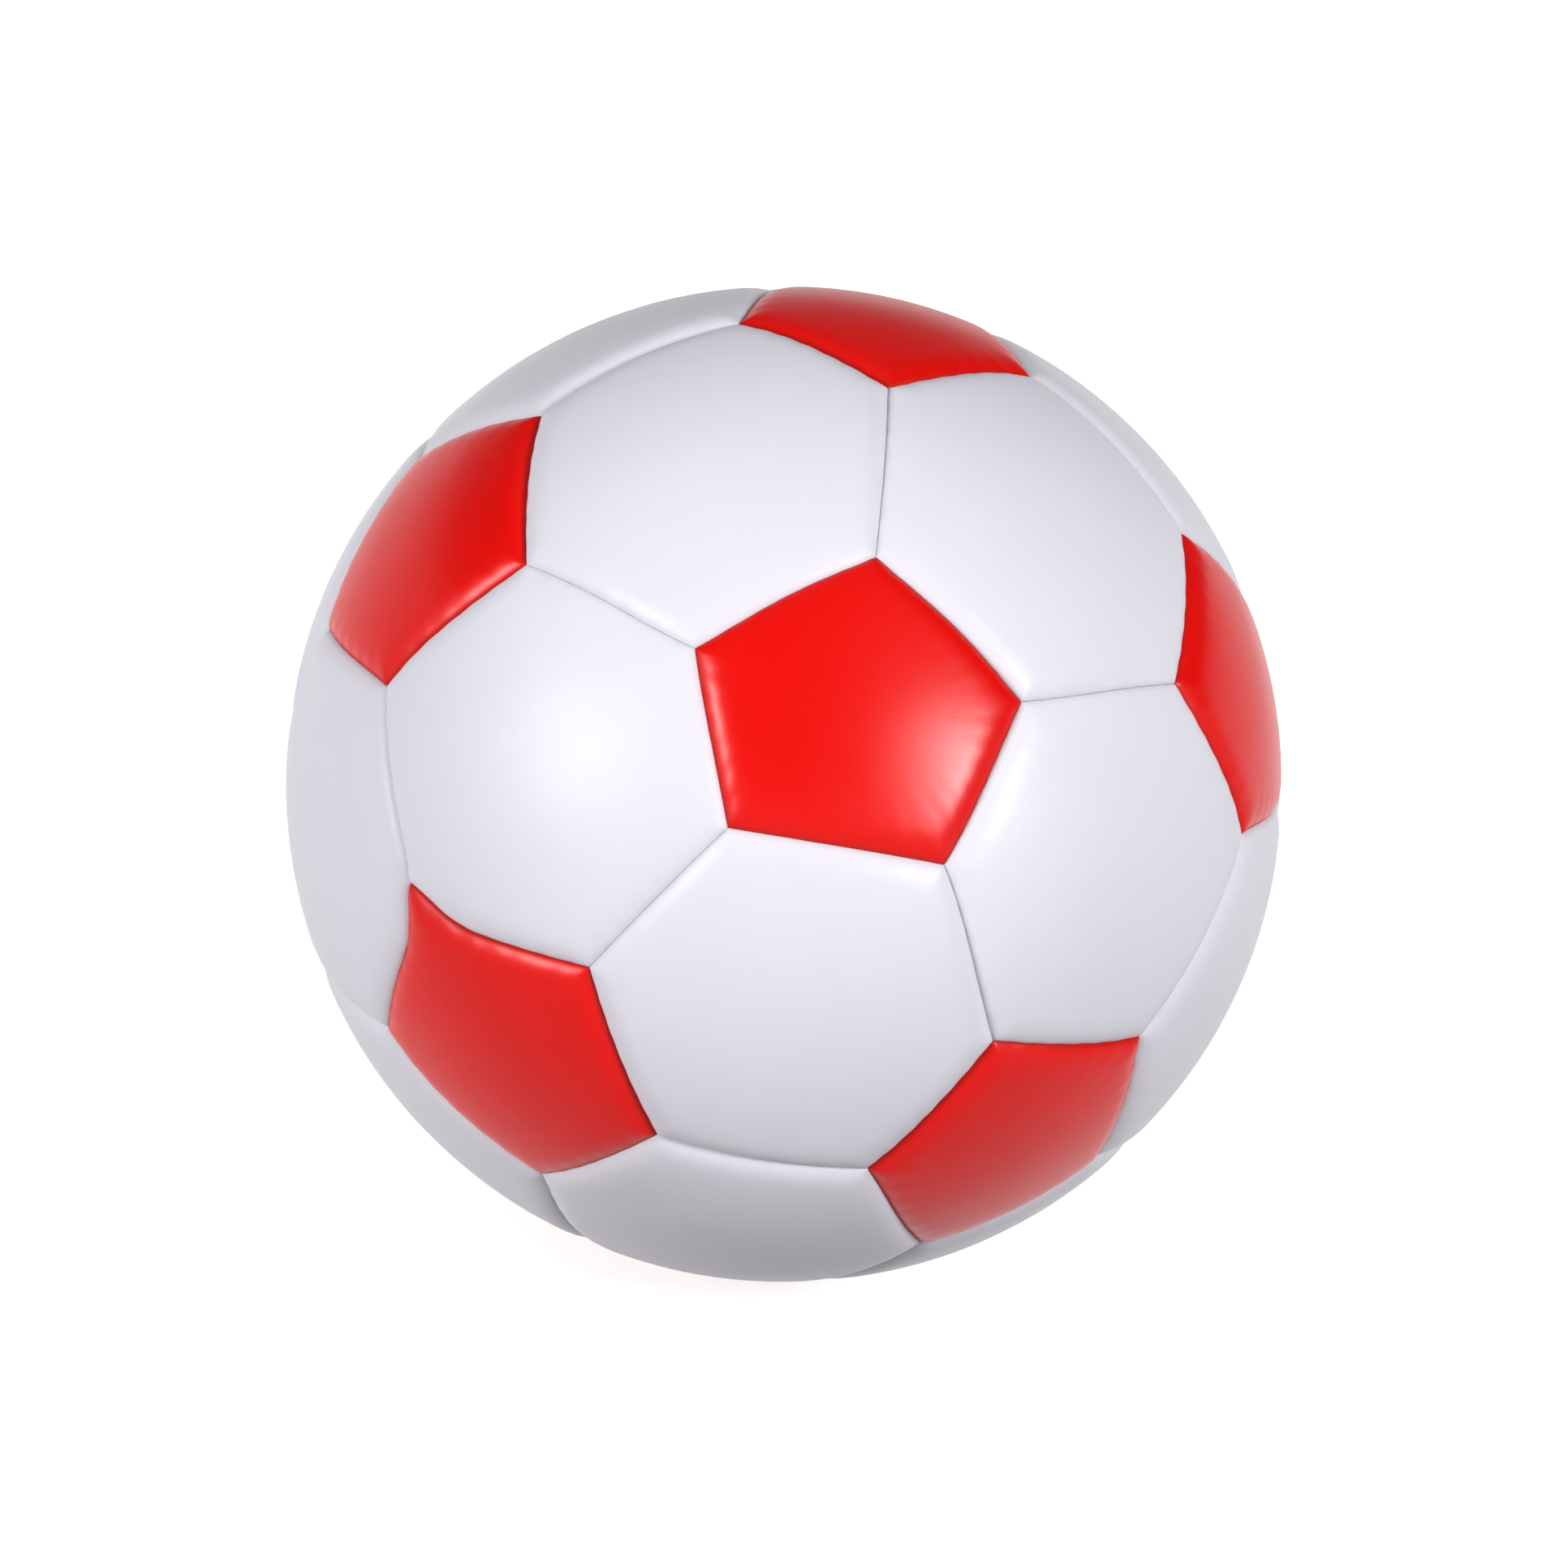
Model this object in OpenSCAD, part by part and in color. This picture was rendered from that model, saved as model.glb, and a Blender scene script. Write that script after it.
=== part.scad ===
// Mini soccer ball: thirty-two sewn cover panels round an inflated rubber bladder.
// Lengths are in millimetres. The origin is the ball's centre.
// +Z runs up through the top pentagon, and the valve looks back and up, in the plane x = 0.

/* [Ball] */
// Diameter over the crowns of the panels
ball_d = 150; // [140:1:160]
// Height of a panel's crown above the seams round it
panel_rise = 0.8; // [0.6:0.1:1]

/* [Cover] */
// Thickness of the synthetic leather skin
skin_t = 1.4; // [1.2:0.1:1.5]
// Thickness of the foam pad next to a seam
foam_t = 1.2; // [1.1:0.1:1.5]
// Thickness of the cloth lining
cloth_t = 0.5; // [0.4:0.1:0.6]
// Thickness of a panel's turned-in hem
hem_t = 1.2; // [1:0.1:1.4]
// Width of the rolled shoulder beside a seam
roll_w = 2; // [1.6:0.1:2.2]
// Depth of the groove between two rolled shoulders
roll_depth = 0.9; // [0.7:0.1:1]
// Space between two hems that are sewn together
seam_gap = 0.2; // [0.15:0.05:0.3]

/* [Stitching] */
// Diameter of the sewing thread
thread_d = 0.7; // [0.6:0.05:0.8]
// Number of stitches along one seam
stitch_count = 6; // [4:1:7]
// Distance by which a run of thread stops short of a panel's corner
run_stop = 2.6; // [2.4:0.1:3.5]

/* [Bladder] */
// Wall thickness of the rubber bladder
bladder_t = 0.9; // [0.7:0.1:1.2]

/* [Valve] */
// Diameter of the housing's neck, which shows in the panel's hole
neck_d = 8; // [7.8:0.1:9]
// Depth of the neck's rim below the crown of the panel
valve_sink = 0.5; // [0.4:0.1:0.8]
// Length of the housing's tube inside the bladder
tube_len = 11; // [10.5:0.5:14]
// Diameter of the flange that is bonded to the bladder
flange_d = 20; // [18:1:22]
// Thickness of that flange
flange_t = 1.2; // [1:0.1:1.4]
// Diameter of the cloth patch behind the panel's hole
patch_d = 24; // [23:1:26]
// Diameter of the valve core's stem
core_d = 5; // [4.5:0.1:5.2]
// Diameter of the valve core's head
core_head_d = 6.4; // [6:0.1:6.6]
// Thickness of the valve core's head
core_head_t = 1.2; // [1:0.1:1.5]
// Diameter of the guide hole for an inflation needle
needle_d = 2.2; // [2:0.1:2.4]
// Length of the straight part of that guide hole
needle_len = 9; // [7:0.5:9]
// Width of the slit that closes the guide hole's inner end
slit_w = 1.6; // [1.2:0.1:1.8]

/* [Hidden] */
$fn = 128;

// Clearances: between layers, under the cover, round a thread, and round the valve's pieces
layer_gap = 0.05;
bladder_gap = 0.1;
thread_gap = 0.05;
valve_gap = 0.1;
core_gap = 0.05;

// How far cutting shapes run: right through the ball, or a little past a face
reach = 1.2 * ball_d;
overcut = 1;

// A truncated icosahedron with edges of length 1: distances from its centre
vertex_dist = sqrt(58 + 18 * sqrt(5)) / 4;
edge_dist = 3 * (1 + sqrt(5)) / 4;
pentagon_dist = sqrt((125 + 41 * sqrt(5)) / 10) / 2;
hexagon_dist = sqrt(3) * (3 + sqrt(5)) / 4;

// Angles at the ball's centre, for a panel with n sides
function face_dist(n) = n == 5 ? pentagon_dist : hexagon_dist;
function corner_angle(n) = acos(face_dist(n) / vertex_dist);
function edge_angle(n) = acos(face_dist(n) / edge_dist);
function arc_angle(length, r) = length / r * 180 / PI;
seam_half_angle = asin(0.5 / vertex_dist);
pentagon_polar = atan(2);
crown_polar = edge_angle(5) + edge_angle(6);
upper_polar = crown_polar + 2 * edge_angle(6);

// Radii of the layers at a seam, from the outside in
ball_r = ball_d / 2;
seam_r = ball_r - panel_rise;
lining_out_r = seam_r - skin_t - foam_t - 2 * layer_gap;
lining_in_r = lining_out_r - cloth_t;
bladder_r = lining_in_r - bladder_gap;

// A panel's outside is part of a smaller sphere, moved out along the panel's axis
// so that it touches ball_r at the crown and seam_r at the middle of each edge
function dome_shift(n) =
    (ball_r * ball_r - seam_r * seam_r) / (2 * (ball_r - seam_r * cos(edge_angle(n))));

// Angle by which a shoulder's bevel runs on past the ends of its seam
shoulder_overrun = 4;

// Stitching: a run of thread lies on each side of a seam, half way down the hems
stitch_r = (lining_in_r + seam_r - skin_t) / 2;
thread_flat = 0.2 * thread_d;
through_d = 0.85 * thread_d;
run_offset = seam_gap / 2 + hem_t + thread_gap + thread_flat;
run_half_angle = seam_half_angle - arc_angle(run_stop, stitch_r);
first_stitch = run_half_angle - arc_angle(thread_d, stitch_r);
stitch_step = 2 * first_stitch / (stitch_count - 1);
pad_inset = run_offset + thread_d / 2 + 2 * thread_gap;

// Valve heights along its axis, from the ball's centre, and its small bevels
rim_bevel = 0.3;
core_bevel = 0.25;
needle_lead_in = 0.6;
core_recess = 0.5;
slit_t = 0.15;
rim_z = ball_r - valve_sink;
core_top_z = rim_z - core_gap;
head_seat_z = core_top_z - core_head_t;
tube_end_z = bladder_r - tube_len;
core_end_z = tube_end_z + core_recess;
needle_end_z = core_top_z - needle_lead_in - needle_len;

// Panels as [name, sides, polar angle, azimuth, azimuth of the first corner, own seams].
// A hexagon's own seams are the edges that take in each seam between two hexagons once.
front = -90;
function ring(name, sides, polar, start, corner, seams = []) =
    [for (k = [0:4]) [str(name, "_", k + 1), sides, polar, start + 72 * k, corner, seams]];
CROWN_RING = ring("crown_hexagon", 6, crown_polar, front + 36, 30, [0, 120]);
PANELS = concat(
    [["top_pentagon", 5, 0, front, 0]],
    ring("upper_pentagon", 5, pentagon_polar, front, 180),
    ring("lower_pentagon", 5, 180 - pentagon_polar, front + 36, 0),
    [["bottom_pentagon", 5, 180, front, 0]],
    [for (p = CROWN_RING) if (!has_valve(p)) p],
    [for (p = CROWN_RING) if (has_valve(p)) concat("valve_hexagon", [for (i = [1:5]) p[i]])],
    ring("upper_hexagon", 6, upper_polar, front + 36, 30, [60, -60]),
    ring("lower_hexagon", 6, 180 - upper_polar, front, 30),
    ring("base_hexagon", 6, 180 - crown_polar, front, 30, [180, 60])
);

function name_of(p) = p[0];
function sides(p) = p[1];
function polar(p) = p[2];
function azimuth(p) = p[3];
function first_corner(p) = p[4];
function edge_azimuths(p) = [for (i = [0:sides(p) - 1]) first_corner(p) + (i + 0.5) * 360 / sides(p)];
function own_seams(p) = sides(p) == 5 ? edge_azimuths(p) : p[5];

// The valve sits in the hexagon of the crown ring that looks straight back
function has_valve(p) = polar(p) == crown_polar && azimuth(p) == front + 180;
VALVE_PANEL = [for (p = PANELS) if (has_valve(p)) p][0];

// Colours of the materials
pentagon_red = [0.86, 0.03, 0.02];
hexagon_white = [0.9, 0.89, 0.93];
foam_grey = [0.78, 0.78, 0.76];
cloth_cream = [0.85, 0.82, 0.72];
thread_white = [0.95, 0.95, 0.95];
bladder_black = [0.12, 0.12, 0.13];
valve_grey = [0.3, 0.3, 0.31];
core_white = [0.88, 0.88, 0.86];

// Turns a panel's own frame, with its axis along +Z, to its place on the ball
module at_panel(p) {
    rotate([0, polar(p), azimuth(p)]) children();
}

// Puts +Z at the middle of one edge of a panel, with +X across the seam and +Y along it
module at_edge(n, edge_azimuth) {
    rotate([0, 0, edge_azimuth]) rotate([0, edge_angle(n), 0]) children();
}

// A sphere with its poles and its seam line away from +Z
module clean_sphere(r) {
    rotate([90, 0, 0]) sphere(r);
}

// The dome of a panel's outside, lowered by depth
module dome(n, depth) {
    translate([0, 0, dome_shift(n)]) clean_sphere(ball_r - dome_shift(n) - depth);
}

// The space of a panel between the seam planes round it, with each side moved in by inset
module wedge(p, inset) {
    n = sides(p);
    translate([0, 0, inset / sin(edge_angle(n))])
        rotate([0, 0, first_corner(p)])
            cylinder(h = reach, r1 = 0, r2 = reach * tan(corner_angle(n)), $fn = n);
}

// What a rolled shoulder takes off a panel's edge: a cone about the seam plane's normal
module shoulder_cutter() {
    slope = roll_depth / roll_w;
    low_r = seam_r - roll_depth;
    top_r = low_r + slope * 2 * roll_w;
    sweep = seam_half_angle + shoulder_overrun;
    rotate([0, -90, 0])
        rotate([0, 0, -sweep])
            rotate_extrude(angle = 2 * sweep)
                polygon([[low_r - slope * overcut, -overcut], [top_r, 2 * roll_w], [top_r, -overcut]]);
}

// Children once for each stitch along a seam, with +X across it and +Z out through the stitch
module each_stitch() {
    for (i = [0:stitch_count - 1])
        rotate([first_stitch - i * stitch_step, 0, 0]) children();
}

// Needle holes through a panel's hems
module stitch_holes(p) {
    for (a = edge_azimuths(p))
        at_edge(sides(p), a)
            each_stitch()
                translate([-(seam_gap + hem_t) / 2, 0, stitch_r])
                    rotate([0, 90, 0])
                        cylinder(h = 2 * hem_t, d = through_d + 2 * thread_gap, center = true);
}

// The hole through the valve's panel and what lies behind it
module valve_hole(d) {
    cylinder(h = reach, d = d);
}

// One cover panel: a domed skin with rolled shoulders and hems turned in along its seams
module panel(p) {
    n = sides(p);
    color(n == 5 ? pentagon_red : hexagon_white)
    at_panel(p)
    difference() {
        intersection() {
            dome(n, 0);
            wedge(p, seam_gap / 2);
        }
        for (a = edge_azimuths(p)) at_edge(n, a) shoulder_cutter();
        intersection() {
            dome(n, skin_t);
            wedge(p, seam_gap / 2 + hem_t);
        }
        clean_sphere(lining_in_r);
        stitch_holes(p);
        if (has_valve(p)) valve_hole(neck_d + 2 * valve_gap);
    }
}

// The outline of a layer inside one panel's hems, with room round the valve's patch
module layer_outline(p) {
    difference() {
        wedge(p, pad_inset);
        if (has_valve(p)) valve_hole(patch_d + 4 * valve_gap);
    }
}

// Foam pads, one behind the skin of each panel with n sides
module foam_pads(n) {
    color(foam_grey)
    for (p = PANELS)
        if (sides(p) == n)
            at_panel(p)
            difference() {
                intersection() {
                    dome(n, skin_t + layer_gap);
                    layer_outline(p);
                }
                clean_sphere(lining_out_r + layer_gap);
            }
}

// Cloth linings, one behind the foam of each panel with n sides
module cloth_linings(n) {
    color(cloth_cream)
    for (p = PANELS)
        if (sides(p) == n)
            at_panel(p)
            difference() {
                intersection() {
                    clean_sphere(lining_out_r);
                    layer_outline(p);
                }
                clean_sphere(lining_in_r);
            }
}

// Thread of one sewn seam: a run pressed flat on each hem, joined at every needle hole
module seam_thread() {
    for (side = [0, 1])
        mirror([side, 0, 0])
            rotate([0, -90, 0])
                rotate([0, 0, -run_half_angle])
                    rotate_extrude(angle = 2 * run_half_angle)
                        translate([stitch_r, run_offset])
                            intersection() {
                                circle(d = thread_d, $fn = 32);
                                translate([-thread_d, -thread_flat]) square(2 * thread_d);
                            }
    each_stitch()
        translate([0, 0, stitch_r])
            rotate([0, 90, 0]) cylinder(h = 2 * run_offset, d = through_d, center = true, $fn = 32);
}

// Threads of the seams that belong to the panels with n sides
module seam_stitching(n) {
    color(thread_white)
    for (p = PANELS)
        if (sides(p) == n)
            for (a = own_seams(p)) at_panel(p) at_edge(n, a) seam_thread();
}

// Air bladder: a rubber ball with a hole for the valve's tube
module bladder() {
    color(bladder_black)
    at_panel(VALVE_PANEL)
    difference() {
        clean_sphere(bladder_r);
        clean_sphere(bladder_r - bladder_t);
        valve_hole(neck_d + 2 * valve_gap);
    }
}

// A round bar from z = low to z = high, with a bevel round its top
module bevelled_bar(low, high, d, bevel) {
    translate([0, 0, low]) cylinder(h = high - low - bevel, d = d);
    translate([0, 0, high - bevel]) cylinder(h = bevel, d1 = d, d2 = d - 2 * bevel);
}

// Valve housing: a flange on the bladder, a neck up to the panel and a tube into the bladder
module valve_housing() {
    flange_in_r = bladder_r + layer_gap;
    color(valve_grey)
    at_panel(VALVE_PANEL)
    difference() {
        union() {
            difference() {
                intersection() {
                    clean_sphere(flange_in_r + flange_t);
                    cylinder(h = reach, d = flange_d);
                }
                clean_sphere(flange_in_r);
            }
            bevelled_bar(tube_end_z, rim_z, neck_d, rim_bevel);
        }
        translate([0, 0, tube_end_z - overcut]) cylinder(h = reach, d = core_d + 2 * core_gap);
        translate([0, 0, head_seat_z - core_gap]) cylinder(h = reach, d = core_head_d + 2 * core_gap);
    }
}

// Valve core: a rubber plug with a needle guide that ends in a slit, which shuts by itself
module valve_core() {
    slit_low = core_end_z - overcut;
    slit_high = needle_end_z + overcut;
    color(core_white)
    at_panel(VALVE_PANEL)
    difference() {
        union() {
            translate([0, 0, core_end_z]) cylinder(h = head_seat_z - core_end_z, d = core_d);
            bevelled_bar(head_seat_z, core_top_z, core_head_d, core_bevel);
        }
        translate([0, 0, needle_end_z]) cylinder(h = reach, d = needle_d);
        translate([0, 0, core_top_z - needle_lead_in])
            cylinder(h = needle_lead_in, d1 = needle_d, d2 = needle_d + 2 * needle_lead_in);
        translate([-slit_w / 2, -slit_t / 2, slit_low]) cube([slit_w, slit_t, slit_high - slit_low]);
    }
}

// Cloth patch that backs the panel round the valve's hole
module valve_patch() {
    depth = skin_t + layer_gap;
    color(cloth_cream)
    at_panel(VALVE_PANEL)
    difference() {
        intersection() {
            dome(6, depth);
            cylinder(h = reach, d = patch_d);
        }
        dome(6, depth + cloth_t);
        valve_hole(neck_d + 2 * valve_gap);
    }
}

for (p = PANELS)
    panel(p);
foam_pads(5);  // pentagon_foam_pads
foam_pads(6);  // hexagon_foam_pads
cloth_linings(5);  // pentagon_cloth_linings
cloth_linings(6);  // hexagon_cloth_linings
seam_stitching(5);  // pentagon_seam_stitching
seam_stitching(6);  // hexagon_seam_stitching
bladder();
valve_housing();
valve_core();
valve_patch();
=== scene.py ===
# %% [markdown]
# # A mini soccer ball
# Twelve red pentagons and twenty white hexagons of synthetic leather are cut flat, backed with foam
# and cloth, sewn edge to edge inside out, turned right side out and blown up by a rubber bladder.
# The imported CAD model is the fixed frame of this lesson: it says where each piece is and which body
# it rides on. Here every piece gets its finished shape and surface. Lengths are in metres.

from collections import namedtuple
from functools import partialmethod
from math import acos, asin, atan, cos, degrees, pi, radians, sin, sqrt, tan

import bmesh
import bpy
import numpy as np
from mathutils import Matrix, Vector


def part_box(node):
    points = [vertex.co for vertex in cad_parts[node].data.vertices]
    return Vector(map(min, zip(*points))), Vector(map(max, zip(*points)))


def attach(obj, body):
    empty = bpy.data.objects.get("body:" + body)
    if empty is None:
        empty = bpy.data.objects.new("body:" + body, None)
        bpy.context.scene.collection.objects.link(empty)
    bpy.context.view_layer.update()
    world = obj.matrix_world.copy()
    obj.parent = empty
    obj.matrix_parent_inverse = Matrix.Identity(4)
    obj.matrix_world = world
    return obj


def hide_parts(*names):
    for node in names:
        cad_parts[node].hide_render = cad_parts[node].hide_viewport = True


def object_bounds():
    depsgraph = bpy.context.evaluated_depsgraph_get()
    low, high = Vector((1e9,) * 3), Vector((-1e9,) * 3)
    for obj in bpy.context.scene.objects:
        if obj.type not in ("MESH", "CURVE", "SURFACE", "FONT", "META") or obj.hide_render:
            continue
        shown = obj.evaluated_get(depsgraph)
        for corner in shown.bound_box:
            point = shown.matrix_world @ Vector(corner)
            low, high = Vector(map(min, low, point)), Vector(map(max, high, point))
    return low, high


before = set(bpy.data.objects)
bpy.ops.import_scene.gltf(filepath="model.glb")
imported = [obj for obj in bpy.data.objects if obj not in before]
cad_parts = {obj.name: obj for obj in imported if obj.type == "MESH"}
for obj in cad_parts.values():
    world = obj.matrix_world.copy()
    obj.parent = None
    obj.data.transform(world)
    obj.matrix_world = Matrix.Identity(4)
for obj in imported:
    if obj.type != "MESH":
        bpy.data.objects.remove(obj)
cad_low, cad_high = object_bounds()
MM = 0.001
print("CAD box in mm:", [round(x / MM, 1) for x in cad_high - cad_low])

# %% [markdown]
# ## The layout of the panels
# A sewn ball of this kind is a truncated icosahedron that has been blown up: every corner joins one
# pentagon and two hexagons. All directions follow from that solid with edges of length 1, so no
# table of places is needed. A panel's own frame has its axis along +Z. It is turned down from the
# top by `polar`, then round the ball by `azimuth`, and `corner` is where its first corner points.

# %% Angles of the solid
ROOT5 = sqrt(5)
VERTEX_DIST = sqrt(58 + 18 * ROOT5) / 4
EDGE_DIST = 3 * (1 + ROOT5) / 4
FACE_DIST = {5: sqrt((125 + 41 * ROOT5) / 10) / 2, 6: sqrt(3) * (3 + ROOT5) / 4}
CORNER_ANGLE = {n: acos(FACE_DIST[n] / VERTEX_DIST) for n in FACE_DIST}
EDGE_ANGLE = {n: acos(FACE_DIST[n] / EDGE_DIST) for n in FACE_DIST}
SEAM_HALF_ANGLE = asin(0.5 / VERTEX_DIST)
print("Edges at", {n: round(degrees(a), 1) for n, a in EDGE_ANGLE.items()}, "degrees")

# %% Panels
FRONT = radians(-90)
FIFTH = radians(72)
PENTAGON_POLAR = atan(2)
CROWN_POLAR = EDGE_ANGLE[5] + EDGE_ANGLE[6]
UPPER_POLAR = CROWN_POLAR + 2 * EDGE_ANGLE[6]
VALVE_PLACE = 2

Panel = namedtuple("Panel", "name sides polar azimuth corner own_seams")


def ring(name, sides, polar, start, corner, own_seams=()):
    """Five panels round the ball. Of the seams between two hexagons, each panel owns some."""
    corner = radians(corner)
    seams = [radians(a) for a in own_seams]
    return [
        Panel(f"{name}_{k + 1}", sides, polar, start + FIFTH * k, corner, seams) for k in range(5)
    ]


crown_ring = ring("crown_hexagon", 6, CROWN_POLAR, FRONT + FIFTH / 2, 30, (0, 120))
crown_ring[VALVE_PLACE] = crown_ring[VALVE_PLACE]._replace(name="valve_hexagon")
VALVE_PANEL = crown_ring[VALVE_PLACE]
PANELS = [
    Panel("top_pentagon", 5, 0, FRONT, 0, ()),
    *ring("upper_pentagon", 5, PENTAGON_POLAR, FRONT, 180),
    *ring("lower_pentagon", 5, pi - PENTAGON_POLAR, FRONT + FIFTH / 2, 0),
    Panel("bottom_pentagon", 5, pi, FRONT, 0, ()),
    *crown_ring,
    *ring("upper_hexagon", 6, UPPER_POLAR, FRONT + FIFTH / 2, 30, (60, -60)),
    *ring("lower_hexagon", 6, pi - UPPER_POLAR, FRONT, 30),
    *ring("base_hexagon", 6, pi - CROWN_POLAR, FRONT, 30, (180, 60)),
]


def panel_turn(panel):
    """The rotation from a panel's own frame, with a corner at +X, to the ball."""
    tilt = Matrix.Rotation(panel.azimuth, 3, "Z") @ Matrix.Rotation(panel.polar, 3, "Y")
    return tilt @ Matrix.Rotation(panel.corner, 3, "Z")


def panel_axis(panel):
    return panel_turn(panel) @ Vector((0, 0, 1))


def off_centre(panel):
    """How far a panel's axis misses the middle of its CAD node, as an angle."""
    low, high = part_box(panel.name)
    return panel_axis(panel).angle((low + high) / 2)


worst = max(degrees(off_centre(panel)) for panel in PANELS)
print(len(PANELS), "panels, all within", round(worst, 1), "degrees of their CAD nodes")

# %% [markdown]
# ## The layers of the cover
# From the outside in: the skin, a foam pad, a cloth lining and the bladder. The skin's edges turn
# in along the seams as hems, and the thread runs through the hems, out of sight. The ball's radius
# is read from the frame, and the layers are stepped in from it by their real thicknesses.

# %% Layer sizes
BALL_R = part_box("top_pentagon")[1].z
PANEL_RISE = 0.8 * MM
SKIN_T = 1.4 * MM
FOAM_T = 1.2 * MM
CLOTH_T = 0.5 * MM
HEM_T = 1.2 * MM
LAYER_GAP = 0.05 * MM
SEAM_R = BALL_R - PANEL_RISE
LINING_OUT_R = SEAM_R - SKIN_T - FOAM_T - 2 * LAYER_GAP
LINING_IN_R = LINING_OUT_R - CLOTH_T
BLADDER_R = LINING_IN_R - 2 * LAYER_GAP


def dome_shift(n):
    """How far the centre of a panel's own dome lies out from the ball's centre."""
    low_edge = BALL_R - SEAM_R * cos(EDGE_ANGLE[n])
    return (BALL_R ** 2 - SEAM_R ** 2) / (2 * low_edge)


radii = (BALL_R, SEAM_R, LINING_OUT_R, LINING_IN_R, BLADDER_R)
print("Radii in mm:", [round(r / MM, 2) for r in radii])

# %% [markdown]
# ## The camera
# The ball is seen from a little above, from far off, so it hardly shows perspective. The long lens
# is worked out from how large the ball's outline is in the picture, and the camera leans a little,
# because the ball does not lie with a pentagon straight up.

# %% Camera
PICTURE_PX = 1932
OUTLINE_RADIUS_PX = 614.5
VIEW_AZIMUTH = radians(-6.5)
VIEW_POLAR = radians(90 - 16.2)
VIEW_ROLL = radians(12.3)
CAMERA_DIST = 18 * BALL_R

scene = bpy.context.scene


def add_object(name, data):
    """A new object in the scene."""
    made = bpy.data.objects.new(name, data)
    scene.collection.objects.link(made)
    return made


level_axes = Matrix.Rotation(VIEW_AZIMUTH, 3, "Z") @ Matrix.Rotation(VIEW_POLAR, 3, "X")
view_axes = level_axes @ Matrix.Rotation(VIEW_ROLL, 3, "Z")
view_right, view_up, view_back = view_axes.transposed()
outline_slope = tan(asin(BALL_R / CAMERA_DIST))
camera_data = bpy.data.cameras.new("camera")
camera_data.lens = camera_data.sensor_width * OUTLINE_RADIUS_PX / outline_slope / PICTURE_PX
scene.camera = add_object("camera", camera_data)
scene.camera.matrix_world = Matrix.Translation(view_back * CAMERA_DIST) @ view_axes.to_4x4()
print("Lens in mm:", round(camera_data.lens, 1))

# %% [markdown]
# ## The studio
# Two soft boxes stand left and right of the camera and are the key lights. Four weaker boxes and a
# dim sky fill the shade on the other sides. What the gloss shows is set apart from them, as it can
# be with reflection cards: on each side a small bright card stands before a large dim one. The ball
# shows them as a light patch that fades outwards, and as light strips where an edge rolls towards
# them. So the boxes are hidden from glossy rays, and the cards from diffuse rays.
# The floor is a round cove that turns up far away, so there is no horizon. To the eye and in
# reflections it is topped up to white, a little less near the ball, where its shadow stays.

# %% Formulas in a node tree
class Field:
    """A value inside a node tree. Arithmetic on it adds Math nodes."""

    def __init__(self, tree, socket):
        self.tree = tree
        self.socket = socket

    def math(self, operation, *others):
        return math_node(self.tree, operation, self, *others)

    def math_after(self, operation, other):
        return math_node(self.tree, operation, other, self)

    __add__ = __radd__ = partialmethod(math, "ADD")
    __sub__ = partialmethod(math, "SUBTRACT")
    __rsub__ = partialmethod(math_after, "SUBTRACT")
    __mul__ = __rmul__ = partialmethod(math, "MULTIPLY")
    __truediv__ = partialmethod(math, "DIVIDE")
    __rtruediv__ = partialmethod(math_after, "DIVIDE")
    __pow__ = partialmethod(math, "POWER")

    def clamped(self):
        """This value, held between 0 and 1."""
        return math_node(self.tree, "ADD", self, 0, use_clamp=True)

    def smooth(self):
        """This value, held between 0 and 1 and eased at both ends."""
        k = self.clamped()
        return k * k * (3 - 2 * k)


# %% Node helpers
def plug(socket, value):
    """Links a field to a socket, or sets a plain value on it."""
    if isinstance(value, Field):
        value.tree.links.new(value.socket, socket)
    else:
        socket.default_value = value


def add_node(tree, kind, inputs=None, **settings):
    """A new node with its settings and inputs. The inputs go by Blender's names or by number."""
    node = tree.nodes.new(kind)
    for name, value in settings.items():
        setattr(node, name, value)
    for name, value in (inputs or {}).items():
        plug(node.inputs[name], value)
    return node


def result(tree, kind, inputs=None, output=0, **settings):
    """One output of a new node, the first unless another is asked for."""
    return Field(tree, add_node(tree, kind, inputs, **settings).outputs[output])


def math_node(tree, operation, *values, **settings):
    numbered = dict(enumerate(values))
    return result(tree, "ShaderNodeMath", numbered, operation=operation, **settings)


def vector_math(operation, vector, inputs=None, output=0):
    inputs = {0: vector, **(inputs or {})}
    return result(vector.tree, "ShaderNodeVectorMath", inputs, output, operation=operation)


def coordinates(tree, kind="Object"):
    return result(tree, "ShaderNodeTexCoord", output=kind)


# %% Sky
SKY_COLOUR = (0.97, 0.97, 1.0, 1)
SKY_LEVEL = 0.04
SKY_BEHIND = 0.3

scene.view_settings.view_transform = "Standard"
scene.world = bpy.data.worlds.new("studio_sky")
scene.world.use_nodes = True
sky_tree = scene.world.node_tree
sky = sky_tree.nodes["Background"]
sky.inputs["Color"].default_value = SKY_COLOUR
away = vector_math("DOT_PRODUCT", coordinates(sky_tree, "Generated"), {1: -view_back}, "Value")
plug(sky.inputs["Strength"], SKY_LEVEL + SKY_BEHIND * away.math("MAXIMUM", 0.0) ** 2)
print("Sky:", len(sky_tree.nodes), "nodes")

# %% Lamps
LAMP_DIST = 1.0


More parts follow.
